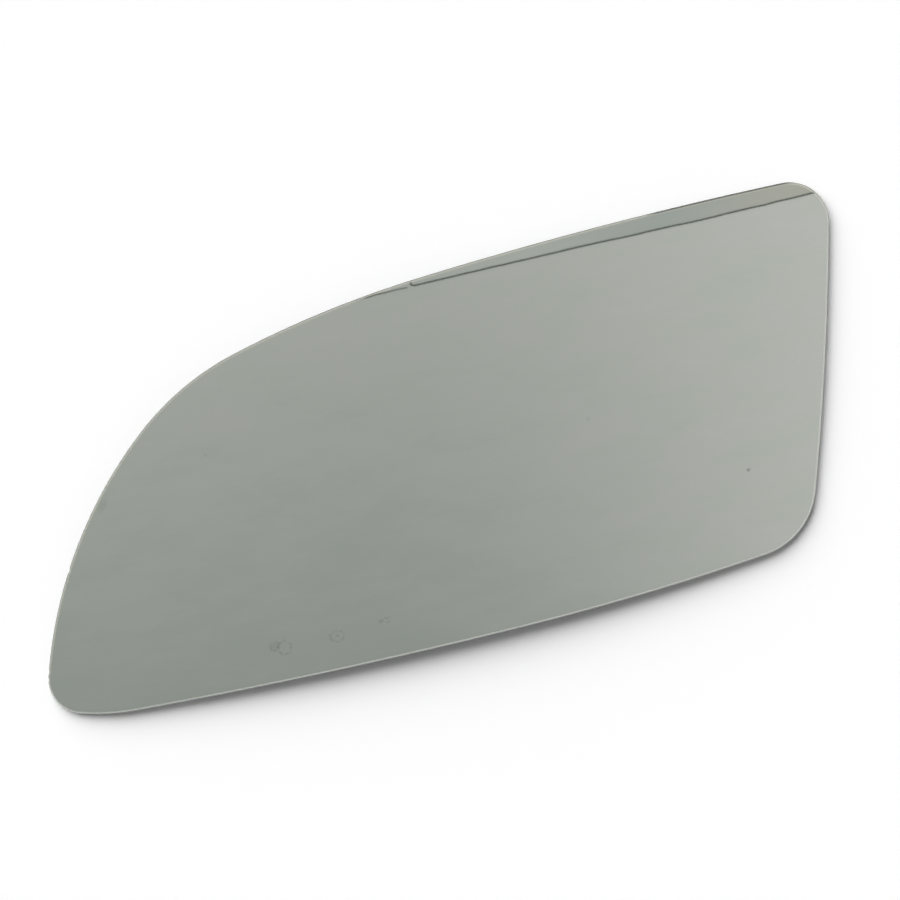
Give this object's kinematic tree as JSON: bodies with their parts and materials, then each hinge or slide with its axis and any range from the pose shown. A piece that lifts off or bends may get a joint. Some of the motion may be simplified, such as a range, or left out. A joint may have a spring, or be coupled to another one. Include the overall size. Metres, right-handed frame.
{
  "type": "car door mirror glass",
  "caption": "Bent sheet of silvered glass for a car door mirror: wide, tall and straight at the inner end, tapered and rounded at the nose, with a ground edge and a painted back.",
  "frame": {"origin": "middle of the glass in plan, at the height of the surface it lies on", "axes": "+X along the bottom side from the rounded nose to the tall end, +Y up the glass from the bottom side to the top side, +Z out of the mirror face"},
  "size_m": [0.1958, 0.0844, 0.0061],
  "materials": {
    "mirror_glass": "silvered and painted on the back, polished face, ground edge"
  },
  "bodies": {
    "root": {"mirror_glass": "mirror_glass"}
  },
  "joints": []
}
